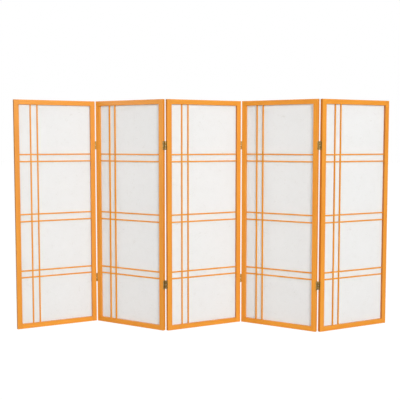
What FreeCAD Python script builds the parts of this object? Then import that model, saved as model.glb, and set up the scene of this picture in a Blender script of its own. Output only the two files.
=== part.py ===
import FreeCAD, Part
import math
import os
import Sketcher

# Free-standing folding screen: five framed lattice panels backed with paper, joined by
# two-way hinges, standing open in a zigzag. X runs along the zigzag's middle line, Y to
# the rear, Z up from the floor under the middle panel.

os.makedirs("parts", exist_ok=True)
doc = FreeCAD.newDocument("folding_screen")

SIZES = [
    # panel frame
    ("screen_height", 1219.2),
    ("panel_width", 444.5),
    ("frame_depth", 19.05),
    ("stile_width", 25.4),
    ("rail_width", 25.4),
    ("edge_ease", 0.4),
    # lattice: bars set back from the front face, ends let into the frame
    ("lattice_recess", 6.35),
    ("bar_width", 6.35),
    ("bar_depth", 6.35),
    ("bar_tenon", 5.0),
    ("first_bar_inset", 88.2),
    ("second_bar_inset", 124.8),
    ("bar_height_a", 274.3),
    ("bar_height_b", 309.7),
    ("bar_height_c", 574.6),
    ("bar_height_d", 612.9),
    ("bar_height_e", 893.9),
    ("bar_height_f", 931.1),
    # paper, and the beads that hold it in the rebate
    ("rebate_width", 6.35),
    ("paper_thickness", 0.35),
    ("bead_joint", 0.2),
    # corner dowels
    ("dowel_radius", 3.175),
    ("dowel_reach", 15.0),
    ("dowel_room", 1.0),
    ("dowel_spacing", 11.0),
    ("dowel_setback", 8.0),
    # two-way hinges
    ("hinge_top_inset", 240.0),
    ("hinge_foot_inset", 245.0),
    ("plate_thickness", 1.2),
    ("plate_setback", 0.5),
    ("barrel_radius", 2.45),
    ("barrel_clearance", 0.3),
    ("barrel_proud", 0.6),
    ("knuckle_length", 10.0),
    ("knuckle_gap", 0.3),
    ("middle_gap", 4.4),
    ("pin_radius", 1.2),
    # hinge screws
    ("screw_length", 12.0),
    ("screw_tip", 2.5),
    ("shank_radius", 1.4),
    ("head_radius", 2.5),
    ("screw_spacing", 26.0),
    ("slot_width", 0.7),
    ("slot_depth", 0.5),
    # how far a cut runs past what it cuts, and the play of what fits in a hole
    ("cut_overrun", 2.0),
    ("fit_clearance", 0.05),
]

# Half of the turn at each joint, in degrees.
HALF_FOLD = 29.7

PANELS = [1, 2, 3, 4, 5]
BAR_HEIGHTS = [f"sizes.bar_height_{letter}" for letter in "abcdef"]

sizes = doc.addObject("Spreadsheet::Sheet", "sizes")
for row, (alias, number) in enumerate(SIZES, 1):
    sizes.set(f"A{row}", alias)
    sizes.set(f"B{row}", str(number))
    sizes.setAlias(f"B{row}", alias)
sizes.set(f"A{len(SIZES) + 1}", "half_fold")
sizes.set(f"B{len(SIZES) + 1}", str(HALF_FOLD))
sizes.setAlias(f"B{len(SIZES) + 1}", "half_fold")
doc.recompute()

# Sizes that follow from the named ones, in a panel's own frame: across from the panel's
# middle, depth from mid-thickness with the front at minus, height from the floor.
HALF_WIDTH = "(sizes.panel_width / 2)"
INNER_HALF = "(sizes.panel_width / 2 - sizes.stile_width)"
FRONT = "(-sizes.frame_depth / 2)"
BACK = "(sizes.frame_depth / 2)"
LATTICE_FRONT = "(sizes.lattice_recess - sizes.frame_depth / 2)"
PAPER_FRONT = f"({LATTICE_FRONT} + sizes.bar_depth)"
PAPER_BACK = f"({PAPER_FRONT} + sizes.paper_thickness)"
REBATE_HALF = f"({INNER_HALF} + sizes.rebate_width)"
REBATE_FOOT = "(sizes.rail_width - sizes.rebate_width)"
REBATE_TOP = f"(sizes.screen_height - {REBATE_FOOT})"
TENON_HALF = f"({INNER_HALF} + sizes.bar_tenon)"
TENON_FOOT = "(sizes.rail_width - sizes.bar_tenon)"
TENON_TOP = f"(sizes.screen_height - {TENON_FOOT})"
BAR_PLACES = [
    f"(sizes.first_bar_inset - {HALF_WIDTH})",
    f"(sizes.second_bar_inset - {HALF_WIDTH})",
]
DOWEL_DEPTH = f"({FRONT} + sizes.dowel_setback)"
HINGE_CENTRES = [
    "sizes.hinge_foot_inset",
    "(sizes.screen_height - sizes.hinge_top_inset)",
]
HINGE_HEIGHT = "(4 * sizes.knuckle_length + 2 * sizes.knuckle_gap + sizes.middle_gap)"
PIN_ACROSS = f"({HALF_WIDTH} + sizes.barrel_radius + sizes.barrel_clearance)"
PIN_DEPTH = "(sizes.frame_depth / 2 + sizes.barrel_proud)"
PLATE_DEPTH = f"({PIN_DEPTH} - sizes.barrel_radius - sizes.plate_setback)"
PAST_BARREL = f"({PIN_DEPTH} + sizes.barrel_radius + sizes.cut_overrun)"


def value(expression):
    """Number that a size expression gives."""
    return float(sizes.evalExpression(str(expression)))


def new_body(name):
    body = doc.addObject("PartDesign::Body", name)
    body.Label = name
    return body


def sketch_on(body, role, offset):
    """Sketch on one of the body's own origin planes, moved along its normal by offset."""
    sketch = body.newObject("Sketcher::SketchObject", "sketch")
    plane = [item for item in body.Origin.OriginFeatures if item.Role == role][0]
    sketch.AttachmentSupport = (plane, [""])
    sketch.MapMode = "FlatFace"
    sketch.setExpression("AttachmentOffset.Base.z", offset)
    return sketch


def bind_point(sketch, line, end, across, up):
    for kind, expression in (("DistanceX", across), ("DistanceY", up)):
        number = value(expression)
        index = sketch.addConstraint(Sketcher.Constraint(kind, -1, 1, line, end, number))
        sketch.setExpression(f"Constraints[{index}]", expression)


def outline(sketch, corners):
    """Closed outline through the corners, each an across and an up expression."""
    points = [FreeCAD.Vector(value(across), value(up), 0) for across, up in corners]
    first = sketch.GeometryCount
    for start, end in zip(points, points[1:] + points[:1]):
        sketch.addGeometry(Part.LineSegment(start, end))
    for index, (across, up) in enumerate(corners):
        line = first + index
        before = first + (index - 1) % len(corners)
        sketch.addConstraint(Sketcher.Constraint("Coincident", before, 2, line, 1))
        bind_point(sketch, line, 1, across, up)


def rectangle(sketch, left, right, low, high):
    outline(sketch, [(left, low), (right, low), (right, high), (left, high)])


def circle(sketch, across, up, radius):
    middle = FreeCAD.Vector(value(across), value(up), 0)
    axis = FreeCAD.Vector(0, 0, 1)
    curve = sketch.addGeometry(Part.Circle(middle, axis, value(radius)))
    bind_point(sketch, curve, 3, across, up)
    index = sketch.addConstraint(Sketcher.Constraint("Radius", curve, value(radius)))
    sketch.setExpression(f"Constraints[{index}]", radius)


def pad(body, sketch, length, symmetric=False):
    feature = body.newObject("PartDesign::Pad", "pad")
    feature.Profile = sketch
    if symmetric:
        feature.SideType = "Symmetric"
    feature.setExpression("Length", length)
    return feature


def pocket(body, sketch, length, towards_normal=False, symmetric=False):
    """Cut from the sketch, against its normal unless told otherwise; it must remove wood."""
    doc.recompute()
    before = body.Shape.Volume
    feature = body.newObject("PartDesign::Pocket", "pocket")
    feature.Profile = sketch
    feature.Reversed = towards_normal
    if symmetric:
        feature.SideType = "Symmetric"
    feature.setExpression("Length", length)
    doc.recompute()
    if not body.Shape.Volume < before:
        raise RuntimeError(f"a cut in {body.Label} removes nothing")
    return feature


def make_stile(name, side, hinged):
    """Upright of one panel: side is -1 for the left one and 1 for the right one."""
    body = new_body(name)
    outer = f"{side} * {HALF_WIDTH}"
    eased = f"{side} * ({HALF_WIDTH} - sizes.edge_ease)"
    inner = f"{side} * {INNER_HALF}"
    inside = f"{side} * ({INNER_HALF} - sizes.cut_overrun)"
    profile = sketch_on(body, "XY_Plane", "0")
    outline(profile, [
        (inner, FRONT),
        (eased, FRONT),
        (outer, f"{FRONT} + sizes.edge_ease"),
        (outer, f"{BACK} - sizes.edge_ease"),
        (eased, BACK),
        (inner, BACK),
    ])
    pad(body, profile, "sizes.screen_height")
    # stopped rebate for the paper, open to the rear
    rebate = sketch_on(body, "XZ_Plane", f"-{PAPER_FRONT}")
    rectangle(rebate, inside, f"{side} * {REBATE_HALF}", REBATE_FOOT, REBATE_TOP)
    pocket(body, rebate, f"{BACK} - {PAPER_FRONT} + sizes.cut_overrun")
    # notches that take the ends of the level bars
    notches = sketch_on(body, "XZ_Plane", f"-{LATTICE_FRONT}")
    for height in BAR_HEIGHTS:
        low = f"{height} - sizes.bar_width / 2"
        high = f"{height} + sizes.bar_width / 2"
        rectangle(notches, inside, f"{side} * {TENON_HALF}", low, high)
    pocket(body, notches, "sizes.bar_depth")
    # corner dowel holes
    holes = sketch_on(body, "YZ_Plane", inner)
    for height in dowel_heights():
        circle(holes, DOWEL_DEPTH, height, "sizes.dowel_radius + sizes.fit_clearance")
    pocket(body, holes, "sizes.dowel_reach + sizes.dowel_room", side > 0)
    # pilot holes of the hinge screws
    if hinged:
        pilots = sketch_on(body, "YZ_Plane", outer)
        for height in screw_heights():
            circle(pilots, "0", height, "sizes.shank_radius + sizes.fit_clearance")
        depth = "sizes.screw_length - sizes.plate_thickness + sizes.fit_clearance"
        pocket(body, pilots, depth, side < 0)
    return body


def dowel_heights():
    places = []
    for rail in ("sizes.rail_width / 2", "sizes.screen_height - sizes.rail_width / 2"):
        places.append(f"{rail} - sizes.dowel_spacing / 2")
        places.append(f"{rail} + sizes.dowel_spacing / 2")
    return places


def screw_heights():
    places = []
    for centre in HINGE_CENTRES:
        places.append(f"{centre} - sizes.screw_spacing / 2")
        places.append(f"{centre} + sizes.screw_spacing / 2")
    return places


def make_rails(name):
    """Bottom and top rail of one panel, two solids between the stiles."""
    body = new_body(name)
    profile = sketch_on(body, "YZ_Plane", "0")
    for foot, turn in (("0", "+"), ("sizes.screen_height", "-")):
        outline(profile, [
            (f"{FRONT} + sizes.edge_ease", foot),
            (f"{BACK} - sizes.edge_ease", foot),
            (BACK, f"{foot} {turn} sizes.edge_ease"),
            (BACK, f"{foot} {turn} {REBATE_FOOT}"),
            (PAPER_FRONT, f"{foot} {turn} {REBATE_FOOT}"),
            (PAPER_FRONT, f"{foot} {turn} sizes.rail_width"),
            (FRONT, f"{foot} {turn} sizes.rail_width"),
            (FRONT, f"{foot} {turn} sizes.edge_ease"),
        ])
    pad(body, profile, f"2 * {INNER_HALF}", symmetric=True)
    # notches that take the ends of the upright bars
    notches = sketch_on(body, "XZ_Plane", f"-{LATTICE_FRONT}")
    for place in BAR_PLACES:
        left = f"{place} - sizes.bar_width / 2"
        right = f"{place} + sizes.bar_width / 2"
        past = "sizes.rail_width + sizes.cut_overrun"
        rectangle(notches, left, right, TENON_FOOT, past)
        rectangle(notches, left, right, f"sizes.screen_height - ({past})", TENON_TOP)
    pocket(body, notches, "sizes.bar_depth")
    # corner dowel holes in both ends
    for side in (-1, 1):
        holes = sketch_on(body, "YZ_Plane", f"{side} * {INNER_HALF}")
        for height in dowel_heights():
            circle(holes, DOWEL_DEPTH, height, "sizes.dowel_radius + sizes.fit_clearance")
        pocket(body, holes, "sizes.dowel_reach + sizes.dowel_room", side < 0)
    return body


def make_vertical_bars(name):
    """Two upright lattice bars, halved from the rear where the level bars cross."""
    body = new_body(name)
    section = sketch_on(body, "XY_Plane", TENON_FOOT)
    for place in BAR_PLACES:
        left = f"{place} - sizes.bar_width / 2"
        right = f"{place} + sizes.bar_width / 2"
        rectangle(section, left, right, LATTICE_FRONT, PAPER_FRONT)
    pad(body, section, f"{TENON_TOP} - {TENON_FOOT}")
    halvings = sketch_on(body, "XZ_Plane", f"-({LATTICE_FRONT} + sizes.bar_depth / 2)")
    left = f"{BAR_PLACES[0]} - sizes.bar_width"
    right = f"{BAR_PLACES[1]} + sizes.bar_width"
    for height in BAR_HEIGHTS:
        low = f"{height} - sizes.bar_width / 2"
        high = f"{height} + sizes.bar_width / 2"
        rectangle(halvings, left, right, low, high)
    pocket(body, halvings, "sizes.bar_depth / 2 + sizes.cut_overrun")
    return body


def make_horizontal_bars(name):
    """Six level lattice bars, halved from the front where the upright bars cross."""
    body = new_body(name)
    section = sketch_on(body, "YZ_Plane", "0")
    for height in BAR_HEIGHTS:
        low = f"{height} - sizes.bar_width / 2"
        high = f"{height} + sizes.bar_width / 2"
        rectangle(section, LATTICE_FRONT, PAPER_FRONT, low, high)
    pad(body, section, f"2 * {TENON_HALF}", symmetric=True)
    halvings = sketch_on(body, "XZ_Plane", f"-({LATTICE_FRONT} - sizes.cut_overrun)")
    for place in BAR_PLACES:
        left = f"{place} - sizes.bar_width / 2"
        right = f"{place} + sizes.bar_width / 2"
        low = f"{BAR_HEIGHTS[0]} - sizes.bar_width"
        high = f"{BAR_HEIGHTS[-1]} + sizes.bar_width"
        rectangle(halvings, left, right, low, high)
    pocket(body, halvings, "sizes.bar_depth / 2 + sizes.cut_overrun")
    return body


def make_paper(name):
    """Paper sheet against the back of the lattice, its margin in the rebate."""
    body = new_body(name)
    sheet = sketch_on(body, "XZ_Plane", f"-{PAPER_BACK}")
    rectangle(sheet, f"-{REBATE_HALF}", REBATE_HALF, REBATE_FOOT, REBATE_TOP)
    pad(body, sheet, "sizes.paper_thickness")
    return body


def make_beads(name):
    """Four strips that fill the rebate behind the paper, level ones between upright ones."""
    body = new_body(name)
    strips = sketch_on(body, "XZ_Plane", f"-{BACK}")
    for side in (-1, 1):
        inner = f"{side} * {INNER_HALF}"
        rectangle(strips, inner, f"{side} * {REBATE_HALF}", REBATE_FOOT, REBATE_TOP)
    half = f"({INNER_HALF} - sizes.bead_joint)"
    rail_top = "sizes.screen_height - sizes.rail_width"
    rectangle(strips, f"-{half}", half, REBATE_FOOT, "sizes.rail_width")
    rectangle(strips, f"-{half}", half, rail_top, REBATE_TOP)
    pad(body, strips, f"{BACK} - {PAPER_BACK}")
    return body


def make_dowels(name):
    """Eight dowels, half of each in a rail's end and half in the stile."""
    body = new_body(name)
    for side in (-1, 1):
        rounds = sketch_on(body, "YZ_Plane", f"{side} * {INNER_HALF}")
        for height in dowel_heights():
            circle(rounds, DOWEL_DEPTH, height, "sizes.dowel_radius")
        pad(body, rounds, "2 * sizes.dowel_reach", symmetric=True)
    return body


def make_leaf(name, side, centre):
    """Leaf on a stile's edge. The right edge's leaf has the front pin's knuckles, the left
    edge's leaf the rear pin's; beside the link's knuckles its plate is cut back."""
    body = new_body(name)
    facing = -side
    foot = f"{centre} - {HINGE_HEIGHT} / 2"
    pin_across = f"{side} * {PIN_ACROSS}"
    pin_depth = f"{facing} * {PIN_DEPTH}"
    near = f"{side} * {HALF_WIDTH}"
    outer = f"{side} * ({HALF_WIDTH} + sizes.plate_thickness)"
    plate = sketch_on(body, "XY_Plane", foot)
    rectangle(plate, near, outer, pin_depth, f"{-facing} * {PLATE_DEPTH}")
    pad(body, plate, HINGE_HEIGHT)
    barrel = sketch_on(body, "XY_Plane", foot)
    circle(barrel, pin_across, pin_depth, "sizes.barrel_radius")
    pad(body, barrel, HINGE_HEIGHT)
    bore = sketch_on(body, "XY_Plane", f"{foot} - sizes.cut_overrun")
    circle(bore, pin_across, pin_depth, "sizes.pin_radius + sizes.fit_clearance")
    pocket(body, bore, f"{HINGE_HEIGHT} + 2 * sizes.cut_overrun", True)
    gaps = sketch_on(body, "YZ_Plane", pin_across)
    inward = f"{facing} * {PLATE_DEPTH}"
    outward = f"{facing} * {PAST_BARREL}"
    side_gap = "(sizes.knuckle_length + sizes.knuckle_gap)"
    low_end = f"{foot} - sizes.cut_overrun"
    high_end = f"{foot} + {HINGE_HEIGHT} + sizes.cut_overrun"
    middle_low = f"{centre} - sizes.middle_gap / 2"
    middle_high = f"{centre} + sizes.middle_gap / 2"
    rectangle(gaps, inward, outward, low_end, f"{foot} + {side_gap}")
    rectangle(gaps, inward, outward, middle_low, middle_high)
    rectangle(gaps, inward, outward, f"{foot} + {HINGE_HEIGHT} - {side_gap}", high_end)
    pocket(body, gaps, f"4 * {PIN_ACROSS} - 4 * {HALF_WIDTH}", symmetric=True)
    seats = sketch_on(body, "YZ_Plane", outer)
    for turn in ("-", "+"):
        height = f"{centre} {turn} sizes.screw_spacing / 2"
        circle(seats, "0", height, "sizes.shank_radius + sizes.fit_clearance")
    doc.recompute()
    before = body.Shape.Volume
    hole = body.newObject("PartDesign::Hole", "hole")
    hole.Profile = seats
    hole.Threaded = False
    hole.Reversed = side < 0
    hole.DepthType = "ThroughAll"
    hole.DrillPoint = "Flat"
    hole.HoleCutType = "Countersink"
    hole.HoleCutCustomValues = True
    hole.HoleCutCountersinkAngle = 90
    hole.setExpression("Diameter", "2 * (sizes.shank_radius + sizes.fit_clearance)")
    hole.setExpression("HoleCutDiameter", "2 * (sizes.head_radius + sizes.fit_clearance)")
    doc.recompute()
    if not body.Shape.Volume < before:
        raise RuntimeError(f"the screw holes in {name} remove nothing")
    return body


def make_screw(name, side, height):
    """Slotted countersunk screw, driven square into a stile's edge, its head flush."""
    body = new_body(name)
    top = f"({HALF_WIDTH} + sizes.plate_thickness)"
    neck = f"({top} - sizes.head_radius + sizes.shank_radius)"
    end = f"({top} - sizes.screw_length)"
    profile = sketch_on(body, "XZ_Plane", "0")
    outline(profile, [
        (f"{side} * {top}", height),
        (f"{side} * {top}", f"{height} + sizes.head_radius"),
        (f"{side} * {neck}", f"{height} + sizes.shank_radius"),
        (f"{side} * ({end} + sizes.screw_tip)", f"{height} + sizes.shank_radius"),
        (f"{side} * {end}", height),
    ])
    turned = body.newObject("PartDesign::Revolution", "revolution")
    turned.Profile = profile
    turned.ReferenceAxis = (profile, ["Edge5"])
    turned.Angle = 360
    doc.recompute()
    slot = sketch_on(body, "YZ_Plane", f"{side} * {top}")
    across = "(sizes.head_radius + sizes.cut_overrun)"
    low = f"{height} - sizes.slot_width / 2"
    rectangle(slot, f"-{across}", across, low, f"{height} + sizes.slot_width / 2")
    pocket(body, slot, "sizes.slot_depth", side < 0)
    return body


def make_link(name, side, centre):
    """Plate between the leaves of one hinge, with the outer knuckles of both pins."""
    body = new_body(name)
    foot = f"{centre} - {HINGE_HEIGHT} / 2"
    middle = f"{side} * {PIN_ACROSS}"
    plate = sketch_on(body, "XY_Plane", foot)
    left = f"{middle} - sizes.plate_thickness / 2"
    right = f"{middle} + sizes.plate_thickness / 2"
    rectangle(plate, left, right, f"-{PIN_DEPTH}", PIN_DEPTH)
    pad(body, plate, HINGE_HEIGHT)
    for facing in (-1, 1):
        barrel = sketch_on(body, "XY_Plane", foot)
        circle(barrel, middle, f"{facing} * {PIN_DEPTH}", "sizes.barrel_radius")
        pad(body, barrel, HINGE_HEIGHT)
    for facing in (-1, 1):
        bore = sketch_on(body, "XY_Plane", f"{foot} - sizes.cut_overrun")
        radius = "sizes.pin_radius + sizes.fit_clearance"
        circle(bore, middle, f"{facing} * {PIN_DEPTH}", radius)
        pocket(body, bore, f"{HINGE_HEIGHT} + 2 * sizes.cut_overrun", True)
    gaps = sketch_on(body, "YZ_Plane", middle)
    low = f"{foot} + sizes.knuckle_length"
    high = f"{foot} + {HINGE_HEIGHT} - sizes.knuckle_length"
    for facing in (-1, 1):
        rectangle(gaps, f"{facing} * {PLATE_DEPTH}", f"{facing} * {PAST_BARREL}", low, high)
    pocket(body, gaps, f"4 * {PIN_ACROSS} - 4 * {HALF_WIDTH}", symmetric=True)
    return body


def make_pin(name, side, facing, centre):
    pin = doc.addObject("Part::Cylinder", name)
    pin.Label = name
    pin.setExpression("Radius", "sizes.pin_radius")
    pin.setExpression("Height", HINGE_HEIGHT)
    pin.setExpression("Placement.Base.x", f"{side} * {PIN_ACROSS}")
    pin.setExpression("Placement.Base.y", f"{facing} * {PIN_DEPTH}")
    pin.setExpression("Placement.Base.z", f"{centre} - {HINGE_HEIGHT} / 2")
    return pin


def gather(name, pieces):
    group = doc.addObject("Part::Compound", name)
    group.Label = name
    group.Links = pieces
    return group


def plan_turn(panel):
    """Turn of a panel from the zigzag's middle line: odd panels one way, even the other."""
    return value("sizes.half_fold") * (1 if panel % 2 else -1)


def panel_places():
    """Each panel's placement. Panel 3 stands at the origin; panels 1-2 and 3-4 turn on
    their front pins, panels 2-3 and 4-5 on their rear pins."""
    places = {3: FreeCAD.Placement(FreeCAD.Vector(0, 0, 0), upright_turn(3))}
    for known, panel in ((3, 4), (4, 5), (3, 2), (2, 1)):
        side = 1 if panel > known else -1
        facing = -1 if min(known, panel) % 2 else 1
        across = value(PIN_ACROSS)
        depth = facing * value(PIN_DEPTH)
        pivot = places[known].multVec(FreeCAD.Vector(side * across, depth, 0))
        turn = upright_turn(panel)
        base = pivot - turn.multVec(FreeCAD.Vector(-side * across, depth, 0))
        places[panel] = FreeCAD.Placement(base, turn)
    return places


def upright_turn(panel):
    return FreeCAD.Rotation(FreeCAD.Vector(0, 0, 1), plan_turn(panel))


nodes = {}
solid_counts = {}
places = panel_places()


def add_node(piece, placement, solids):
    piece.Placement = placement
    nodes[piece.Label] = piece
    solid_counts[piece.Label] = solids


for panel in PANELS:
    place = places[panel]
    name = f"panel_{panel}"
    hinged_sides = [side for side in (-1, 1) if panel + side in PANELS]
    add_node(make_stile(f"{name}_left_stile", -1, -1 in hinged_sides), place, 1)
    add_node(make_stile(f"{name}_right_stile", 1, 1 in hinged_sides), place, 1)
    add_node(make_rails(f"{name}_rails"), place, 2)
    add_node(make_vertical_bars(f"{name}_vertical_bars"), place, 2)
    add_node(make_horizontal_bars(f"{name}_horizontal_bars"), place, len(BAR_HEIGHTS))
    add_node(make_paper(f"{name}_paper"), place, 1)
    add_node(make_beads(f"{name}_beads"), place, 4)
    add_node(make_dowels(f"{name}_dowels"), place, 8)
    leaves = []
    screws = []
    for side in hinged_sides:
        edge = "left" if side < 0 else "right"
        for level, centre in zip(("lower", "upper"), HINGE_CENTRES):
            leaves.append(make_leaf(f"{name}_{edge}_{level}_leaf", side, centre))
        for count, height in enumerate(screw_heights(), 1):
            screws.append(make_screw(f"{name}_{edge}_screw_{count}", side, height))
    add_node(gather(f"{name}_hinge_leaves", leaves), place, len(leaves))
    add_node(gather(f"{name}_hinge_screws", screws), place, len(screws))

# Each link stands square to the even panel of its joint, closed against its leaf.
for left_panel in PANELS[:-1]:
    joint = f"hinge_{left_panel}{left_panel + 1}"
    even = left_panel + left_panel % 2
    side = 1 if even == left_panel else -1
    links = []
    pins = []
    for level, centre in zip(("lower", "upper"), HINGE_CENTRES):
        links.append(make_link(f"{joint}_{level}_link", side, centre))
        pins.append(make_pin(f"{joint}_{level}_front_pin", side, -1, centre))
        pins.append(make_pin(f"{joint}_{level}_rear_pin", side, 1, centre))
    add_node(gather(f"{joint}_links", links), places[even], len(links))
    add_node(gather(f"{joint}_pins", pins), places[even], len(pins))

doc.recompute()

for item in doc.Objects:
    if "Invalid" in item.State or "Error" in item.State:
        raise RuntimeError(f"{item.Label} did not compute: {item.State}")
for name, piece in nodes.items():
    if piece.Shape.isNull() or not piece.Shape.isValid():
        raise RuntimeError(f"{name} has no valid shape")
    if len(piece.Shape.Solids) != solid_counts[name]:
        found = len(piece.Shape.Solids)
        raise RuntimeError(f"{name} has {found} solids, not {solid_counts[name]}")

for name, piece in nodes.items():
    piece.Shape.exportStep(f"parts/{name}.step")

for panel, place in places.items():
    base = place.Base
    print(f"panel {panel}: base {base.x:.4f} {base.y:.4f}, turn {plan_turn(panel):.2f}")
print(f"{len(nodes)} nodes, {sum(solid_counts.values())} solids")
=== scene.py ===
from math import cos, pi, radians, sin

import bpy
import numpy as np
from mathutils import Matrix, Vector


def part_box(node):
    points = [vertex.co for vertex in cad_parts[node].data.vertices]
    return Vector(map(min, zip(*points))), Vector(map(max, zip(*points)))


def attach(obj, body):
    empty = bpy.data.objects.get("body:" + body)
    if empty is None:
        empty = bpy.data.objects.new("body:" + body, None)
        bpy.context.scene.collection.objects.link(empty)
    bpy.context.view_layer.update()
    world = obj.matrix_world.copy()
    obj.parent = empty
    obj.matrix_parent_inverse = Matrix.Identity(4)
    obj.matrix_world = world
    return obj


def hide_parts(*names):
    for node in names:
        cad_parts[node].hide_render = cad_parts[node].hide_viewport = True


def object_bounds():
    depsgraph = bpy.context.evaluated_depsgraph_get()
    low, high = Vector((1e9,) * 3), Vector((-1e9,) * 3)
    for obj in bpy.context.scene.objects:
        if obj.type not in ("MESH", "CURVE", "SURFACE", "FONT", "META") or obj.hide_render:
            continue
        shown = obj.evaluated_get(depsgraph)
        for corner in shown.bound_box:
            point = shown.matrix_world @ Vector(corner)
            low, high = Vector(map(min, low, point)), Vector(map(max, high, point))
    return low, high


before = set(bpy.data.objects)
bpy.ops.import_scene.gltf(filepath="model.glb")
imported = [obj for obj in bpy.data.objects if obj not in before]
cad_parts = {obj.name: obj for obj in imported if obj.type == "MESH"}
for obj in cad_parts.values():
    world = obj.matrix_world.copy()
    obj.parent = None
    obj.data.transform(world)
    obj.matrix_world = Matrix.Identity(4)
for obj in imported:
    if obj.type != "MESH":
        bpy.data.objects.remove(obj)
cad_low, cad_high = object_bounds()

# Camera
# The screen is seen from a metre above the floor, four metres in front of it and just right of
# its centre, through a lens of moderate length that is tipped down by about four degrees.
EYE = (0.11475, -4.07674, 0.99804)
LOOK_DOWN = radians(4.3733)
LOOK_LEFT = radians(1.9281)
LENS_LENGTH = 68.46
SENSOR_WIDTH = 36.0

lens = bpy.data.cameras.new("studio_camera")
lens.sensor_width = SENSOR_WIDTH
lens.lens = LENS_LENGTH
camera = bpy.data.objects.new("studio_camera", lens)
camera.location = EYE
camera.rotation_euler = (pi / 2 - LOOK_DOWN, 0, LOOK_LEFT)
bpy.context.scene.collection.objects.link(camera)
bpy.context.scene.camera = camera
bpy.context.scene.view_settings.view_transform = "Standard"

# Stiles
# The two uprights of each panel run its full height. They are straight-grained softwood
# under a honey lacquer, with the outer corners eased, and carry the hinges on their edges.
PANELS = (1, 2, 3, 4, 5)
HALF_FOLD = radians(29.7)
PANEL_WIDTH = 0.4445
FRAME_DEPTH = 0.01905
STILE_WIDTH = 0.0254
SCREEN_HEIGHT = cad_high.z - cad_low.z
HALF_WIDTH = PANEL_WIDTH / 2
HALF_DEPTH = FRAME_DEPTH / 2
PALE_HONEY = (0.80, 0.325, 0.030, 1)
DEEP_HONEY = (0.70, 0.235, 0.018, 1)
WORN_HONEY = (0.84, 0.42, 0.075, 1)
HONEY = (PALE_HONEY, DEEP_HONEY, WORN_HONEY)
STILE_TONES = {1: (0.97, 0.97), 2: (0.99, 0.98), 3: (0.98, 1.00), 4: (1.01, 1.03), 5: (1.01, 0.99)}
# Share of painted shade on the faces that look left, on the left and on the right stiles; it stands in for
# the shade those faces get with the light from the right.
LEFT_FACE_PAINTED_SHADES = (0.20, 0.60)
# Brown that the wood turns towards, for the painted shade on faces that look left and for the dark seams at
# joints.
PAINTED_SHADE_AND_SEAM_BROWN = (0.42, 0.10, 0.005, 1)
PORE_BROWN = (0.30, 0.09, 0.01, 1)
END_BROWN = (0.42, 0.15, 0.02, 1)
YEARS_PER_METRE = 430.0
YEAR_DIRECTION = (0.93, 0.37, 0.004)
SEAM_WIDTH = 0.0006
SEAM_DARKNESS = 0.6

# How often each mark of the wood comes in a metre: twice across the grain, then along it.
SWAY_PITCH = (14, 14, 1.8)
DRIFT_PITCH = (34, 34, 3.1)
FIBRE_PITCH = (1900, 1900, 36)
PORE_PITCH = (3600, 3600, 150)
RAGGED_PITCH = (420, 420, 60)


def turn_of(panel):
    """Turn of a panel from the zigzag's middle line."""
    return HALF_FOLD if panel % 2 else -HALF_FOLD


def middle_of(panel):
    """Point of the floor under the panel's middle."""
    low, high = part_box(f"panel_{panel}_rails")
    return Vector(((low.x + high.x) / 2, (low.y + high.y) / 2, 0))


def add(tree, kind, inputs=None, **settings):
    """New node, with each input set to a value or linked to a socket."""
    made = tree.nodes.new(kind)
    for name, setting in settings.items():
        setattr(made, name, setting)
    for name, given in (inputs or {}).items():
        if isinstance(given, bpy.types.NodeSocket):
            tree.links.new(given, made.inputs[name])
        else:
            made.inputs[name].default_value = given
    return made


def reckon(tree, operation, *numbers):
    """Result of one operation on numbers or sockets."""
    inputs = dict(enumerate(numbers))
    return add(tree, "ShaderNodeMath", inputs, operation=operation).outputs[0]


def weigh(tree, base, *terms):
    """The base plus each term times its weight."""
    total = base
    for term, weight in terms:
        total = reckon(tree, "MULTIPLY_ADD", term, weight, total)
    return total


def stretch(tree, vector, scale):
    """The vector with each of its parts multiplied."""
    inputs = {0: vector, 1: scale}
    return add(tree, "ShaderNodeVectorMath", inputs, operation="MULTIPLY").outputs[0]


def noise(tree, vector, detail=2.0, roughness=0.5, distortion=0.0):
    inputs = {"Vector": vector, "Scale": 1.0, "Detail": detail, "Roughness": roughness,
              "Distortion": distortion}
    return add(tree, "ShaderNodeTexNoise", inputs).outputs["Fac"]


def ramp(tree, number, low, high, bottom=0.0, top=1.0):
    """Smooth step of a number from one range to another."""
    inputs = {"Value": number, "From Min": low, "From Max": high, "To Min": bottom, "To Max": top}
    made = add(tree, "ShaderNodeMapRange", inputs, interpolation_type="SMOOTHSTEP")
    return made.outputs["Result"]


def blend_colours(tree, share, first, second):
    return add(tree, "ShaderNodeMix", {0: share, 6: first, 7: second}, data_type="RGBA").outputs[2]


def stain(tree, colour, mask, strength, towards):
    """The colour, turned towards another by this strength where the mask is full."""
    return blend_colours(tree, reckon(tree, "MULTIPLY", mask, strength), colour, towards)


def shifted(tree, place, seed, step):
    """The place moved by a number of steps, so that each piece gets its own marks."""
    shift = add(tree, "ShaderNodeVectorMath", {0: step, "Scale": seed}, operation="SCALE").outputs[0]
    return add(tree, "ShaderNodeVectorMath", {0: place, 1: shift}, operation="ADD").outputs[0]


def new_group(name, inputs, outputs):
    """Empty shader node group, with the sockets that it is given and those of its result."""
    tree = bpy.data.node_groups.new(name, "ShaderNodeTree")
    kinds = {"number": "NodeSocketFloat", "vector": "NodeSocketVector", "colour": "NodeSocketColor"}
    for socket, kind in inputs.items():
        tree.interface.new_socket(socket, in_out="INPUT", socket_type=kinds[kind])
    for socket, kind in outputs.items():
        tree.interface.new_socket(socket, in_out="OUTPUT", socket_type=kinds[kind])
    given = tree.nodes.new("NodeGroupInput").outputs
    result = tree.nodes.new("NodeGroupOutput").inputs
    return tree, given, result


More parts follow.
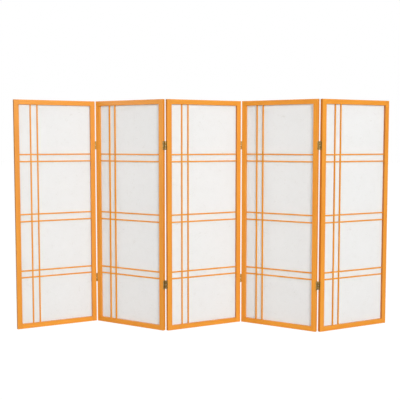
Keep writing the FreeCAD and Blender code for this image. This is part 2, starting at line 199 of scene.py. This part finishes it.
def make_wood_grain():
    """Lacquered softwood whose grain runs along Z: year lines, fibres, pores, and worn corners. Where Side
    is set it turns towards brown: painted shade on faces that look left, and dark seams at joints.
    """
    tree, given, result = new_group(
        "lacquered_wood_grain",
        {"Place": "vector", "Seed": "number", "Corner": "number", "Side": "number", "End": "number",
         "Pale": "colour", "Deep": "colour", "Worn": "colour"},
        {"Color": "colour", "Roughness": "number", "Height": "number"})
    place = shifted(tree, given["Place"], given["Seed"], (3.17, 5.71, 7.33))
    sway = reckon(tree, "MULTIPLY", noise(tree, stretch(tree, place, SWAY_PITCH), 1.0), 0.016)
    along = add(tree, "ShaderNodeVectorMath", {0: place, 1: YEAR_DIRECTION}, operation="DOT_PRODUCT")
    year = reckon(tree, "MULTIPLY", reckon(tree, "ADD", along.outputs["Value"], sway), YEARS_PER_METRE)
    lines = add(tree, "ShaderNodeTexNoise", {"W": year, "Scale": 1.0, "Detail": 2.0, "Roughness": 0.55},
                noise_dimensions="1D").outputs["Fac"]
    lines = ramp(tree, lines, 0.34, 0.66)
    fibres = ramp(tree, noise(tree, stretch(tree, place, FIBRE_PITCH), 3.0, 0.6), 0.3, 0.7)
    pores = ramp(tree, noise(tree, stretch(tree, place, PORE_PITCH), 1.0), 0.66, 0.74)
    drift = ramp(tree, noise(tree, stretch(tree, place, DRIFT_PITCH), 2.0), 0.3, 0.7)
    ragged = noise(tree, stretch(tree, place, RAGGED_PITCH), 3.0)
    wear = ramp(tree, weigh(tree, given["Corner"], (ragged, 0.0022)), 0.0008, 0.0021, 1.0, 0.0)
    share = weigh(tree, 0.0, (lines, 0.42), (drift, 0.36), (fibres, 0.22))
    colour = blend_colours(tree, share, given["Deep"], given["Pale"])
    colour = stain(tree, colour, pores, 0.30, PORE_BROWN)
    colour = stain(tree, colour, given["End"], 0.45, END_BROWN)
    colour = stain(tree, colour, wear, 0.55, given["Worn"])
    # Painted shade on faces that look left, and dark seams at joints, turn the colour towards brown by the
    # Side share.
    colour = blend_colours(tree, given["Side"], colour, PAINTED_SHADE_AND_SEAM_BROWN)
    rough = weigh(tree, 0.36, (fibres, 0.10), (wear, 0.16), (given["End"], 0.25))
    height = weigh(tree, 0.0, (lines, 0.30), (fibres, 0.25), (pores, -0.55))
    tree.links.new(colour, result["Color"])
    tree.links.new(rough, result["Roughness"])
    tree.links.new(height, result["Height"])
    return tree


WOOD_GRAIN = make_wood_grain()


def panel_place(tree, panel, level=False):
    """Place in a panel's own frame, X across, Y to the rear and Z up. For a level piece it is
    turned so that Z runs along the piece and X is minus the height."""
    coordinates = add(tree, "ShaderNodeTexCoord")
    inputs = {"Vector": coordinates.outputs["Object"], "Location": middle_of(panel),
              "Rotation": (0, pi / 2 if level else 0, turn_of(panel))}
    return add(tree, "ShaderNodeMapping", inputs, vector_type="TEXTURE").outputs["Vector"]


def from_corner(tree, place, centres, half_width, middle_depth, half_depth):
    """Distance from the nearest long corner, over the faces of strips with these centre lines."""
    parts = add(tree, "ShaderNodeSeparateXYZ", {"Vector": place}).outputs
    aside = None
    for centre in centres:
        away = reckon(tree, "ABSOLUTE", reckon(tree, "SUBTRACT", parts["X"], centre))
        aside = away if aside is None else reckon(tree, "MINIMUM", aside, away)
    across = reckon(tree, "MAXIMUM", reckon(tree, "SUBTRACT", half_width, aside), 0.0)
    off = reckon(tree, "ABSOLUTE", reckon(tree, "SUBTRACT", parts["Y"], middle_depth))
    inward = reckon(tree, "MAXIMUM", reckon(tree, "SUBTRACT", half_depth, off), 0.0)
    return reckon(tree, "ADD", across, inward)


def seam(tree, number, edge):
    """Dark line on a piece beside its joint, which is this far from the middle."""
    away = reckon(tree, "ABSOLUTE", number)
    return ramp(tree, away, edge - SEAM_WIDTH, edge - SEAM_WIDTH / 3, 0.0, SEAM_DARKNESS)


def new_material(name):
    material = bpy.data.materials.new(name)
    material.use_nodes = True
    material.node_tree.nodes.clear()
    return material, material.node_tree


def show(tree, shader):
    add(tree, "ShaderNodeOutputMaterial", {"Surface": shader.outputs[0]})


def bumps(tree, height, strength, distance):
    """Normal of a surface with fine relief."""
    inputs = {"Height": height, "Strength": strength, "Distance": distance}
    return add(tree, "ShaderNodeBump", inputs).outputs["Normal"]


def toned(colour, tone):
    """A paler or deeper tone of the colour."""
    return [part * tone for part in colour[:3]] + [1]


def show_lacquer(tree, grain):
    """Surface of the lacquered wood: satin, with a thin clear coat over the grain."""
    show(tree, add(tree, "ShaderNodeBsdfPrincipled", {
        "Base Color": grain.outputs["Color"],
        "Roughness": grain.outputs["Roughness"],
        "Normal": bumps(tree, grain.outputs["Height"], 0.35, 0.0002),
        "Specular IOR Level": 0.35,
        "Coat Weight": 0.12,
        "Coat Roughness": 0.25,
    }))


def make_wood(name, panel, seed, centres, half_width, middle_depth=0.0, half_depth=HALF_DEPTH,
              level=False, shown_ends=False, tone=1.0, honey=HONEY, painted_shade=0.0, joint=None):
    """Honey-lacquered wood for the strips of one node. The painted shade darkens the faces that look left,
    as the shade from the light on the right would, and the joint is how far from the middle of a strip its
    ends meet another piece."""
    material, tree = new_material(name)
    place = panel_place(tree, panel, level)
    normal = add(tree, "ShaderNodeTexCoord").outputs["Normal"]
    turn = turn_of(panel)
    rightward = add(tree, "ShaderNodeVectorMath", {0: normal, 1: (cos(turn), sin(turn), 0)},
                    operation="DOT_PRODUCT").outputs["Value"]
    # Painted shade: faces that look left turn darker by this share, standing in for the shade they get with
    # the light from the right.
    side = ramp(tree, rightward, -0.9, -0.6, painted_shade, 0.0)
    if joint is not None:
        along = add(tree, "ShaderNodeSeparateXYZ", {"Vector": place}).outputs["Z"]
        side = reckon(tree, "MAXIMUM", side, seam(tree, along, joint))
    grain = add(tree, "ShaderNodeGroup", node_tree=WOOD_GRAIN)
    corner = from_corner(tree, place, centres, half_width, middle_depth, half_depth)
    tree.links.new(place, grain.inputs["Place"])
    tree.links.new(corner, grain.inputs["Corner"])
    tree.links.new(side, grain.inputs["Side"])
    if shown_ends:
        upward = add(tree, "ShaderNodeSeparateXYZ", {"Vector": normal}).outputs["Z"]
        end = ramp(tree, reckon(tree, "ABSOLUTE", upward), 0.6, 0.9)
        tree.links.new(end, grain.inputs["End"])
    grain.inputs["Seed"].default_value = seed
    for key, colour in zip(("Pale", "Deep", "Worn"), honey):
        grain.inputs[key].default_value = toned(colour, tone)
    show_lacquer(tree, grain)
    return material


def dress(node, material):
    """Gives a CAD node its finish."""
    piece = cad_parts[node]
    if not piece.material_slots:
        piece.data.materials.append(material)
    for held in piece.material_slots:
        held.material = material


for panel in PANELS:
    for side, word, tone, painted_shade in zip((-1, 1), ("left", "right"), STILE_TONES[panel], LEFT_FACE_PAINTED_SHADES):
        centre = side * (HALF_WIDTH - STILE_WIDTH / 2)
        seed = panel + 0.3 * side
        wood = make_wood(f"{word}_stile_wood_{panel}", panel, seed, [centre], STILE_WIDTH / 2,
                         shown_ends=True, tone=tone, painted_shade=painted_shade)
        dress(f"panel_{panel}_{word}_stile", wood)

# Rails
# The top and bottom rails butt between the stiles, with their grain level. They are of the
# same lacquered wood and are held by the dowels in their ends.
RAIL_WIDTH = 0.0254
RAIL_CENTRES = [-RAIL_WIDTH / 2, RAIL_WIDTH / 2 - SCREEN_HEIGHT]
RAIL_SEED = 11.4
RAIL_TONE_SPREAD = 0.02
OPENING_HALF = HALF_WIDTH - STILE_WIDTH

for panel in PANELS:
    tone = 1.0 + RAIL_TONE_SPREAD * sin(1.7 * panel)
    wood = make_wood(f"rail_wood_{panel}", panel, panel + RAIL_SEED, RAIL_CENTRES, RAIL_WIDTH / 2,
                     level=True, tone=tone, joint=OPENING_HALF)
    dress(f"panel_{panel}_rails", wood)

# Corner dowels
# Two plain birch dowels pin each corner of a frame. They are glued in blind holes, so they
# are seen only when a panel comes apart.
BIRCH_PALE = (0.66, 0.48, 0.27, 1)
BIRCH_DEEP = (0.52, 0.34, 0.17, 1)
BIRCH_WORN = (0.70, 0.55, 0.35, 1)
BIRCH_SEED = 40.0
FAR_FROM_CORNER = 1.0


def make_dowel_wood():
    """Unfinished pale wood with its grain along the dowel."""
    material, tree = new_material("birch_dowel_wood")
    grain = add(tree, "ShaderNodeGroup", node_tree=WOOD_GRAIN)
    inputs = {"Vector": add(tree, "ShaderNodeTexCoord").outputs["Object"], "Rotation": (0, pi / 2, 0)}
    turned = add(tree, "ShaderNodeMapping", inputs, vector_type="TEXTURE")
    tree.links.new(turned.outputs["Vector"], grain.inputs["Place"])
    grain.inputs["Seed"].default_value = BIRCH_SEED
    grain.inputs["Corner"].default_value = FAR_FROM_CORNER
    grain.inputs["Pale"].default_value = BIRCH_PALE
    grain.inputs["Deep"].default_value = BIRCH_DEEP
    grain.inputs["Worn"].default_value = BIRCH_WORN
    show(tree, add(tree, "ShaderNodeBsdfPrincipled", {
        "Base Color": grain.outputs["Color"],
        "Roughness": grain.outputs["Roughness"],
        "Normal": bumps(tree, grain.outputs["Height"], 0.4, 0.0002),
    }))
    return material


dowel_wood = make_dowel_wood()
for panel in PANELS:
    dress(f"panel_{panel}_dowels", dowel_wood)

# Lattice bars
# Two upright and six level bars, thin square strips of the same lacquered wood, are halved
# over each other where they cross, and their ends are let into the frame.
BAR_WIDTH = 0.00635
LATTICE_SETBACK = 0.00635
LATTICE_MIDDLE = LATTICE_SETBACK + BAR_WIDTH / 2 - HALF_DEPTH
LATTICE_BACK = LATTICE_SETBACK + BAR_WIDTH - HALF_DEPTH
BAR_PLACES = [inset - HALF_WIDTH for inset in (0.0882, 0.1248)]
BAR_HEIGHTS = [0.2743, 0.3097, 0.5746, 0.6129, 0.8939, 0.9311]
BAR_HONEY = ((0.80, 0.325, 0.002, 1), (0.71, 0.240, 0.001, 1), (0.82, 0.38, 0.020, 1))
# Share of painted shade on the upright bars' faces that look left; it stands in for their shade with the
# light from the right.
BAR_PAINTED_SHADE = 0.35
UPRIGHT_SEED = 21.7
LEVEL_SEED = 31.1

for panel in PANELS:
    upright = make_wood(f"upright_bar_wood_{panel}", panel, panel + UPRIGHT_SEED, BAR_PLACES, BAR_WIDTH / 2,
                        LATTICE_MIDDLE, BAR_WIDTH / 2, honey=BAR_HONEY, painted_shade=BAR_PAINTED_SHADE)
    dress(f"panel_{panel}_vertical_bars", upright)
    centres = [-height for height in BAR_HEIGHTS]
    level = make_wood(f"level_bar_wood_{panel}", panel, panel + LEVEL_SEED, centres, BAR_WIDTH / 2,
                      LATTICE_MIDDLE, BAR_WIDTH / 2, level=True, honey=BAR_HONEY)
    dress(f"panel_{panel}_horizontal_bars", level)

# Paper
# One sheet of white fibrous paper lies against the back of the lattice in each panel, its
# margin in the rebate under the beads. Between the bars it cockles by about a millimetre.
REBATE = 0.00635
PAPER_THICKNESS = 0.00035
PAPER_HALF = OPENING_HALF + REBATE
PAPER_FOOT = RAIL_WIDTH - REBATE
PAPER_TOP = SCREEN_HEIGHT - PAPER_FOOT
PAPER_GRID = (64, 186)
COCKLE = 0.0007
PILLOW_POWER = 0.7
CELL_SPREAD = 0.45
WAVE_SPREAD = 0.5
PAPER_WHITE = (0.882, 0.882, 0.876, 1)
PULP_GREY = (0.70, 0.69, 0.66, 1)
FIBRE_GREY = (0.68, 0.66, 0.62, 1)
PAPER_GLOW_SHARE = 0.4

# How often the paper's marks come in a metre, in each direction: clouds of pulp, patches of
# fibres and grit, and how often fibres of three lengths come.
CLOUD_PITCH = (34, 34, 34)
PATCH_PITCH = (21, 0, 21)
GRIT_PITCH = (900, 900, 900)
FIBRE_RATES = (38.0, 55.0, 83.0)


def make_washi():
    """Long-fibred paper: clouds of thicker pulp, and darker fibres lying in all directions."""
    tree, given, result = new_group(
        "fibrous_paper", {"Place": "vector", "Seed": "number", "White": "colour"},
        {"Color": "colour", "Roughness": "number", "Height": "number"})
    place = shifted(tree, given["Place"], given["Seed"], (1.9, 0.0, 2.7))
    clouds = noise(tree, stretch(tree, place, CLOUD_PITCH), 5.0, 0.62)
    grit = noise(tree, stretch(tree, place, GRIT_PITCH), 3.0, 0.7)
    strands = None
    for layer, rate in enumerate(FIBRE_RATES):
        inputs = {"Vector": place, "Location": (0.7 * layer, 0, 1.3 * layer),
                  "Rotation": (0, 1.1 * layer, 0)}
        moved = add(tree, "ShaderNodeMapping", inputs).outputs["Vector"]
        field = noise(tree, stretch(tree, moved, (rate, 0, rate * 0.6)), 1.0, 0.4, 1.2)
        away = reckon(tree, "ABSOLUTE", reckon(tree, "SUBTRACT", field, 0.5))
        line = ramp(tree, away, 0.003, 0.010, 1.0, 0.0)
        patch = ramp(tree, noise(tree, stretch(tree, moved, PATCH_PITCH), 1.0), 0.5, 0.6)
        strand = reckon(tree, "MULTIPLY", line, patch)
        strands = strand if strands is None else reckon(tree, "MAXIMUM", strands, strand)
    colour = stain(tree, given["White"], ramp(tree, clouds, 0.32, 0.68), 0.05, PULP_GREY)
    colour = stain(tree, colour, strands, 0.30, FIBRE_GREY)
    rough = weigh(tree, 0.78, (grit, 0.14))
    height = weigh(tree, 0.0, (strands, 0.8), (grit, 0.25), (clouds, 0.6))
    tree.links.new(colour, result["Color"])
    tree.links.new(rough, result["Roughness"])
    tree.links.new(height, result["Height"])
    return tree


WASHI = make_washi()


def make_paper_finish(panel):
    """White paper that reflects most light and lets the rest through, so the lattice's shadow
    shows from behind."""
    material, tree = new_material(f"white_paper_{panel}")
    washi = add(tree, "ShaderNodeGroup", node_tree=WASHI)
    tree.links.new(panel_place(tree, panel), washi.inputs["Place"])
    washi.inputs["Seed"].default_value = panel
    washi.inputs["White"].default_value = PAPER_WHITE
    colour = washi.outputs["Color"]
    normal = bumps(tree, washi.outputs["Height"], 0.4, 0.0003)
    front = add(tree, "ShaderNodeBsdfPrincipled", {
        "Base Color": colour,
        "Roughness": washi.outputs["Roughness"],
        "Normal": normal,
        "Specular IOR Level": 0.15,
    }).outputs[0]
    through = add(tree, "ShaderNodeBsdfTranslucent", {"Color": colour, "Normal": normal}).outputs[0]
    show(tree, add(tree, "ShaderNodeMixShader", {0: PAPER_GLOW_SHARE, 1: front, 2: through}))
    return material


def held_lines(edges, bars):
    """Where the sheet is held flat along one direction: its margins and the bars' sides."""
    low, high = edges
    lines = [low]
    for bar in sorted(bars):
        lines += [bar - BAR_WIDTH / 2, bar + BAR_WIDTH / 2]
    return lines + [high]


def between(number, lines):
    """Share of the way across the window that a number lies in, and the window's near edge, or
    two zeros where the sheet is held."""
    for low, high in zip(lines[::2], lines[1::2]):
        if low < number < high:
            return (number - low) / (high - low), low
    return 0.0, 0.0


def cockle(across, height, panel, columns, rows):
    """How far the paper stands back from the lattice at a place of the panel: each window swells
    by its own amount, and a slow wave runs over the whole sheet."""
    share_x, left = between(across, columns)
    share_z, foot = between(height, rows)
    pillow = (sin(pi * share_x) * sin(pi * share_z)) ** PILLOW_POWER if share_x and share_z else 0.0
    cell = sin(37.0 * left + 3.1 * panel) * cos(23.0 * foot + 1.7 * panel)
    wave = sin(31.0 * across + 9.0 * height + panel) * sin(17.0 * height - 12.0 * across + 2.0 * panel)
    return COCKLE * pillow * (1.0 + CELL_SPREAD * cell + WAVE_SPREAD * wave)


def make_paper(panel):
    """The sheet as a thin closed shell, in the row frame."""
    columns = held_lines((-OPENING_HALF, OPENING_HALF), BAR_PLACES)
    rows = held_lines((RAIL_WIDTH, SCREEN_HEIGHT - RAIL_WIDTH), BAR_HEIGHTS)
    wide, tall = PAPER_GRID
    turned = Matrix.Translation(middle_of(panel)) @ Matrix.Rotation(turn_of(panel), 4, "Z")
    points = []
    for depth in (LATTICE_BACK, LATTICE_BACK + PAPER_THICKNESS):
        for row in range(tall + 1):
            height = PAPER_FOOT + (PAPER_TOP - PAPER_FOOT) * row / tall
            for column in range(wide + 1):
                across = PAPER_HALF * (2 * column / wide - 1)
                back = depth + cockle(across, height, panel, columns, rows)
                points.append(turned @ Vector((across, back, height)))
    count = (wide + 1) * (tall + 1)
    faces = []
    for row in range(tall):
        for column in range(wide):
            corner = row * (wide + 1) + column
            square = [corner, corner + 1, corner + wide + 2, corner + wide + 1]
            faces.append(square)
            faces.append([count + index for index in reversed(square)])
    rim = list(range(wide))
    rim += [wide + row * (wide + 1) for row in range(tall)]
    rim += [tall * (wide + 1) + column for column in range(wide, 0, -1)]
    rim += [row * (wide + 1) for row in range(tall, 0, -1)]
    for start, end in zip(rim, rim[1:] + rim[:1]):
        faces.append([start, count + start, count + end, end])
    mesh = bpy.data.meshes.new(f"paper_sheet_{panel}")
    mesh.from_pydata(points, [], faces)
    smooth = np.ones(len(mesh.polygons), bool)
    smooth[-len(rim):] = False
    mesh.polygons.foreach_set("use_smooth", smooth)
    mesh.validate()
    sheet = bpy.data.objects.new(f"paper_sheet_{panel}", mesh)
    bpy.context.scene.collection.objects.link(sheet)
    return sheet


for panel in PANELS:
    sheet = make_paper(panel)
    sheet.data.materials.append(make_paper_finish(panel))
    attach(sheet, f"panel_{panel}")
    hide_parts(f"panel_{panel}_paper")

# Beads and brads
# Four thin strips close the rebate behind each sheet and hold its margin. They are lacquered
# like the frame and are pinned through with small brass brads, whose heads stand just proud.
BEAD_MIDDLE = OPENING_HALF + REBATE / 2
BEAD_FRONT = LATTICE_BACK + PAPER_THICKNESS
BEAD_HEIGHTS = [PAPER_FOOT + REBATE / 2, PAPER_TOP - REBATE / 2]
BEAD_TONE = 0.9
BEAD_SEED = 51.9


def make_bead_wood(panel):
    """Bead wood: the grain follows each strip, so it is upright at the sides and level elsewhere."""
    material, tree = new_material(f"bead_wood_{panel}")
    upright = panel_place(tree, panel)
    level = panel_place(tree, panel, level=True)
    parts = add(tree, "ShaderNodeSeparateXYZ", {"Vector": upright}).outputs
    across = parts["X"]
    above = reckon(tree, "SUBTRACT", parts["Z"], SCREEN_HEIGHT / 2)
    side_seam = seam(tree, across, PAPER_HALF)
    end_seam = seam(tree, above, PAPER_TOP - SCREEN_HEIGHT / 2)
    at_side = reckon(tree, "GREATER_THAN", reckon(tree, "ABSOLUTE", across), OPENING_HALF - 0.0001)
    place = add(tree, "ShaderNodeMix", {0: at_side, 4: level, 5: upright}, data_type="VECTOR").outputs[1]
    depth = (BEAD_FRONT + HALF_DEPTH) / 2
    half_depth = (HALF_DEPTH - BEAD_FRONT) / 2
    sides = from_corner(tree, upright, [-BEAD_MIDDLE, BEAD_MIDDLE], REBATE / 2, depth, half_depth)
    ends = from_corner(tree, level, [-height for height in BEAD_HEIGHTS], REBATE / 2, depth, half_depth)
    corner = add(tree, "ShaderNodeMix", {0: at_side, 2: ends, 3: sides}).outputs[0]
    grain = add(tree, "ShaderNodeGroup", node_tree=WOOD_GRAIN)
    tree.links.new(place, grain.inputs["Place"])
    tree.links.new(corner, grain.inputs["Corner"])
    tree.links.new(reckon(tree, "MAXIMUM", side_seam, end_seam), grain.inputs["Side"])
    grain.inputs["Seed"].default_value = panel + BEAD_SEED
    grain.inputs["Pale"].default_value = toned(PALE_HONEY, BEAD_TONE)
    grain.inputs["Deep"].default_value = toned(DEEP_HONEY, BEAD_TONE)
    grain.inputs["Worn"].default_value = WORN_HONEY
    show_lacquer(tree, grain)
    return material


for panel in PANELS:
    dress(f"panel_{panel}_beads", make_bead_wood(panel))

BRASS_LIGHT = (0.56, 0.41, 0.150, 1)
BRASS_DARK = (0.250, 0.165, 0.056, 1)

# How often the metal's marks come in a metre, in each direction.
PATINA_PITCH = (160, 160, 160)
SPECK_PITCH = (1500, 1500, 1500)
SCRATCH_PITCH = (2600, 2600, 90)


def make_aged_brass():
    """Antique brass plate: brown patina clouded over a yellower metal, with fine scratches."""
    tree, given, result = new_group(
        "aged_brass", {"Place": "vector", "Patina": "number", "Light": "colour", "Dark": "colour"},
        {"Color": "colour", "Roughness": "number", "Height": "number"})
    place = given["Place"]
    clouds = noise(tree, stretch(tree, place, PATINA_PITCH), 4.0, 0.6)
    specks = noise(tree, stretch(tree, place, SPECK_PITCH), 2.0, 0.6)
    scratches = ramp(tree, noise(tree, stretch(tree, place, SCRATCH_PITCH), 2.0), 0.60, 0.68)
    cover = ramp(tree, reckon(tree, "ADD", clouds, given["Patina"]), 0.38, 0.66)
    colour = blend_colours(tree, cover, given["Light"], given["Dark"])
    colour = stain(tree, colour, ramp(tree, specks, 0.58, 0.70), 0.5, given["Dark"])
    colour = stain(tree, colour, scratches, 0.4, given["Light"])
    rough = weigh(tree, 0.30, (cover, 0.22), (specks, 0.10))
    height = weigh(tree, 0.0, (specks, 0.3), (scratches, -0.4))
    tree.links.new(colour, result["Color"])
    tree.links.new(rough, result["Roughness"])
    tree.links.new(height, result["Height"])
    return tree


AGED_BRASS = make_aged_brass()


def make_brass(name, patina):
    """Antique brass, browner the more patina it has."""
    material, tree = new_material(name)
    aged = add(tree, "ShaderNodeGroup", node_tree=AGED_BRASS)
    tree.links.new(add(tree, "ShaderNodeTexCoord").outputs["Object"], aged.inputs["Place"])
    aged.inputs["Patina"].default_value = patina
    aged.inputs["Light"].default_value = BRASS_LIGHT
    aged.inputs["Dark"].default_value = BRASS_DARK
    show(tree, add(tree, "ShaderNodeBsdfPrincipled", {
        "Base Color": aged.outputs["Color"],
        "Metallic": 0.9,
        "Roughness": aged.outputs["Roughness"],
        "Normal": bumps(tree, aged.outputs["Height"], 0.3, 0.0001),
    }))
    return material


BRAD_SIZES = {
    "Side": BEAD_MIDDLE,
    "Foot": BEAD_HEIGHTS[0],
    "Top": BEAD_HEIGHTS[1],
    "Back": HALF_DEPTH,
    "End Margin": 0.030,
    "Side Count": 9,
    "End Count": 4,
    "Head Radius": 0.0009,
    "Head Rise": 0.00035,
    "Wander": 0.0011,
}


def point_at(tree, across, depth, height):
    return add(tree, "ShaderNodeCombineXYZ", {"X": across, "Y": depth, "Z": height}).outputs[0]


def make_brad_rows():
    """Domed brad heads in rows along the four beads, in a panel's own frame. The lower half of
    each ball is pressed flat, so that a head lies on the bead."""
    tree = bpy.data.node_groups.new("brad_rows", "GeometryNodeTree")
    tree.interface.new_socket("Geometry", in_out="OUTPUT", socket_type="NodeSocketGeometry")
    for name in BRAD_SIZES:
        kind = "NodeSocketInt" if name.endswith("Count") else "NodeSocketFloat"
        tree.interface.new_socket(name, in_out="INPUT", socket_type=kind)
    tree.interface.new_socket("Seed", in_out="INPUT", socket_type="NodeSocketInt")
    tree.interface.new_socket("Metal", in_out="INPUT", socket_type="NodeSocketMaterial")
    given = tree.nodes.new("NodeGroupInput").outputs
    low = reckon(tree, "ADD", given["Foot"], given["End Margin"])
    high = reckon(tree, "SUBTRACT", given["Top"], given["End Margin"])
    right = reckon(tree, "SUBTRACT", given["Side"], given["End Margin"])
    left = reckon(tree, "MULTIPLY", right, -1.0)
    runs = []
    for side in (-1, 1):
        across = reckon(tree, "MULTIPLY", given["Side"], side)
        runs.append((across, low, across, high, given["Side Count"]))
    for height in (given["Foot"], given["Top"]):
        runs.append((left, height, right, height, given["End Count"]))
    rows = add(tree, "GeometryNodeJoinGeometry")
    for start_x, start_z, end_x, end_z, count in runs:
        start = point_at(tree, start_x, given["Back"], start_z)
        end = point_at(tree, end_x, given["Back"], end_z)
        inputs = {"Count": count, "Start Location": start, "Offset": end}
        row = add(tree, "GeometryNodeMeshLine", inputs, mode="END_POINTS")
        tree.links.new(row.outputs["Mesh"], rows.inputs["Geometry"])
    wander = given["Wander"]
    back = reckon(tree, "MULTIPLY", wander, -1.0)
    spread = add(tree, "FunctionNodeRandomValue", {
        "Min": point_at(tree, back, 0.0, back),
        "Max": point_at(tree, wander, 0.0, wander),
        "Seed": given["Seed"],
    }, data_type="FLOAT_VECTOR").outputs["Value"]
    places = add(tree, "GeometryNodeSetPosition", {"Geometry": rows.outputs[0], "Offset": spread})
    ball = add(tree, "GeometryNodeMeshUVSphere", {"Segments": 14, "Rings": 8, "Radius": 1.0})
    position = add(tree, "GeometryNodeInputPosition").outputs[0]
    point = add(tree, "ShaderNodeSeparateXYZ", {"Vector": position}).outputs
    domed = point_at(tree, point["X"], point["Y"], reckon(tree, "MAXIMUM", point["Z"], 0.0))
    head = add(tree, "GeometryNodeSetPosition", {"Geometry": ball.outputs["Mesh"], "Position": domed})
    size = point_at(tree, given["Head Radius"], given["Head Radius"], given["Head Rise"])
    heads = add(tree, "GeometryNodeInstanceOnPoints", {
        "Points": places.outputs[0], "Instance": head.outputs[0], "Rotation": (-pi / 2, 0, 0),
        "Scale": size})
    real = add(tree, "GeometryNodeRealizeInstances", {"Geometry": heads.outputs[0]}).outputs[0]
    metal = add(tree, "GeometryNodeSetMaterial", {"Geometry": real, "Material": given["Metal"]}).outputs[0]
    add(tree, "NodeGroupOutput", {"Geometry": metal})
    return tree


BRAD_ROWS = make_brad_rows()
brad_brass = make_brass("brass_brad", -0.10)


def make_brads(panel):
    """One panel's brad heads as a plain mesh, in the row frame."""
    carrier = bpy.data.objects.new(f"brad_rows_{panel}", bpy.data.meshes.new(f"brad_rows_{panel}"))
    bpy.context.scene.collection.objects.link(carrier)
    rows = carrier.modifiers.new("brads", "NODES")
    rows.node_group = BRAD_ROWS
    given = {**BRAD_SIZES, "Seed": panel, "Metal": brad_brass}
    for socket in BRAD_ROWS.interface.items_tree:
        if socket.in_out == "INPUT":
            rows[socket.identifier] = given[socket.name]
    settled = carrier.evaluated_get(bpy.context.evaluated_depsgraph_get())
    mesh = bpy.data.meshes.new_from_object(settled)
    carrier.modifiers.remove(rows)
    bpy.data.objects.remove(carrier)
    mesh.transform(Matrix.Translation(middle_of(panel)) @ Matrix.Rotation(turn_of(panel), 4, "Z"))
    mesh.polygons.foreach_set("use_smooth", np.ones(len(mesh.polygons), bool))
    brads = bpy.data.objects.new(f"brads_{panel}", mesh)
    bpy.context.scene.collection.objects.link(brads)
    return brads


for panel in PANELS:
    brads = make_brads(panel)
    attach(brads, f"panel_{panel}")

# Hinges
# Two small two-way hinges join each pair of panels. Their leaves and links are pressed brass
# with an antique finish. Slotted countersunk screws hold the leaves to the stile edges.
hinge_brass = make_brass("antique_brass_hinge", 0.0)
screw_brass = make_brass("antique_brass_screw", -0.06)
pin_brass = make_brass("antique_brass_pin", 0.05)
for panel in PANELS:
    dress(f"panel_{panel}_hinge_leaves", hinge_brass)
    dress(f"panel_{panel}_hinge_screws", screw_brass)
for joint in ("12", "23", "34", "45"):
    dress(f"hinge_{joint}_links", hinge_brass)
    dress(f"hinge_{joint}_pins", pin_brass)

# Studio
# A plain pale floor that looks white from the camera, under soft light from two broad lamps in
# front, the brighter one to the right, with weak light from the left, above, behind and all round.
FLOOR_REACH = 30.0
FLOOR_WHITE = (0.60, 0.60, 0.60, 1)
FLOOR_GLOW = 1.06
FLOOR_GLOW_SHARE = 0.95
SKY_STRENGTH = 0.22
SKY_SLOPE = 0.6
SKY_AXIS = (0.766, -0.643, 0.0)
SCREEN_MIDDLE = (0, 0, 0.7)

floor_mesh = bpy.data.meshes.new("studio_floor")
floor_mesh.from_pydata(
    [(-FLOOR_REACH, -FLOOR_REACH, 0), (FLOOR_REACH, -FLOOR_REACH, 0),
     (FLOOR_REACH, FLOOR_REACH, 0), (-FLOOR_REACH, FLOOR_REACH, 0)], [], [(0, 1, 2, 3)])
studio_floor = bpy.data.objects.new("studio_floor", floor_mesh)
bpy.context.scene.collection.objects.link(studio_floor)
floor_finish, floor_tree = new_material("white_floor")
floor_path = add(floor_tree, "ShaderNodeLightPath")
floor_share = reckon(floor_tree, "MULTIPLY", floor_path.outputs["Is Camera Ray"], FLOOR_GLOW_SHARE)
floor_lit = add(floor_tree, "ShaderNodeBsdfPrincipled",
                {"Base Color": FLOOR_WHITE, "Roughness": 0.9, "Specular IOR Level": 0.1})
floor_seen = add(floor_tree, "ShaderNodeEmission", {"Color": (1, 1, 1, 1), "Strength": FLOOR_GLOW})
show(floor_tree, add(floor_tree, "ShaderNodeMixShader",
                     {0: floor_share, 1: floor_lit.outputs[0], 2: floor_seen.outputs[0]}))
floor_mesh.materials.append(floor_finish)

world = bpy.data.worlds.new("white_studio")
world.use_nodes = True
world.node_tree.nodes.clear()
sky = world.node_tree
path = add(sky, "ShaderNodeLightPath")
direction = add(sky, "ShaderNodeTexCoord").outputs["Generated"]
towards = add(sky, "ShaderNodeVectorMath", {0: direction, 1: SKY_AXIS}, operation="DOT_PRODUCT")
slope = weigh(sky, SKY_STRENGTH, (towards.outputs["Value"], SKY_SLOPE * SKY_STRENGTH))
lit = add(sky, "ShaderNodeBackground", {"Color": (1, 1, 1, 1), "Strength": slope}).outputs[0]
seen = add(sky, "ShaderNodeBackground", {"Color": (1, 1, 1, 1), "Strength": 1.0}).outputs[0]
mixed = add(sky, "ShaderNodeMixShader", {0: path.outputs["Is Camera Ray"], 1: lit, 2: seen})
add(sky, "ShaderNodeOutputWorld", {"Surface": mixed.outputs[0]})
bpy.context.scene.world = world


def add_lamp(name, location, target, size, watts):
    """Soft square lamp that faces a point."""
    light = bpy.data.lights.new(name, "AREA")
    light.size = size
    light.energy = watts
    lamp = bpy.data.objects.new(name, light)
    lamp.location = location
    lamp.rotation_euler = (Vector(target) - Vector(location)).to_track_quat("-Z", "Y").to_euler()
    bpy.context.scene.collection.objects.link(lamp)


add_lamp("key_lamp", (6.2, -13.8, 5.2), SCREEN_MIDDLE, size=5.0, watts=1550.0)
add_lamp("fill_lamp", (-0.6, -15.4, 4.0), SCREEN_MIDDLE, size=4.0, watts=613.0)
add_lamp("side_lamp", (-9.6, -2.8, 1.7), SCREEN_MIDDLE, size=1.2, watts=132.0)
add_lamp("overhead_lamp", (0.0, 0.0, 4.6), (0, 0, 0), size=4.0, watts=40.0)
add_lamp("backdrop_lamp", (0.0, 7.0, 2.6), SCREEN_MIDDLE, size=4.0, watts=330.0)
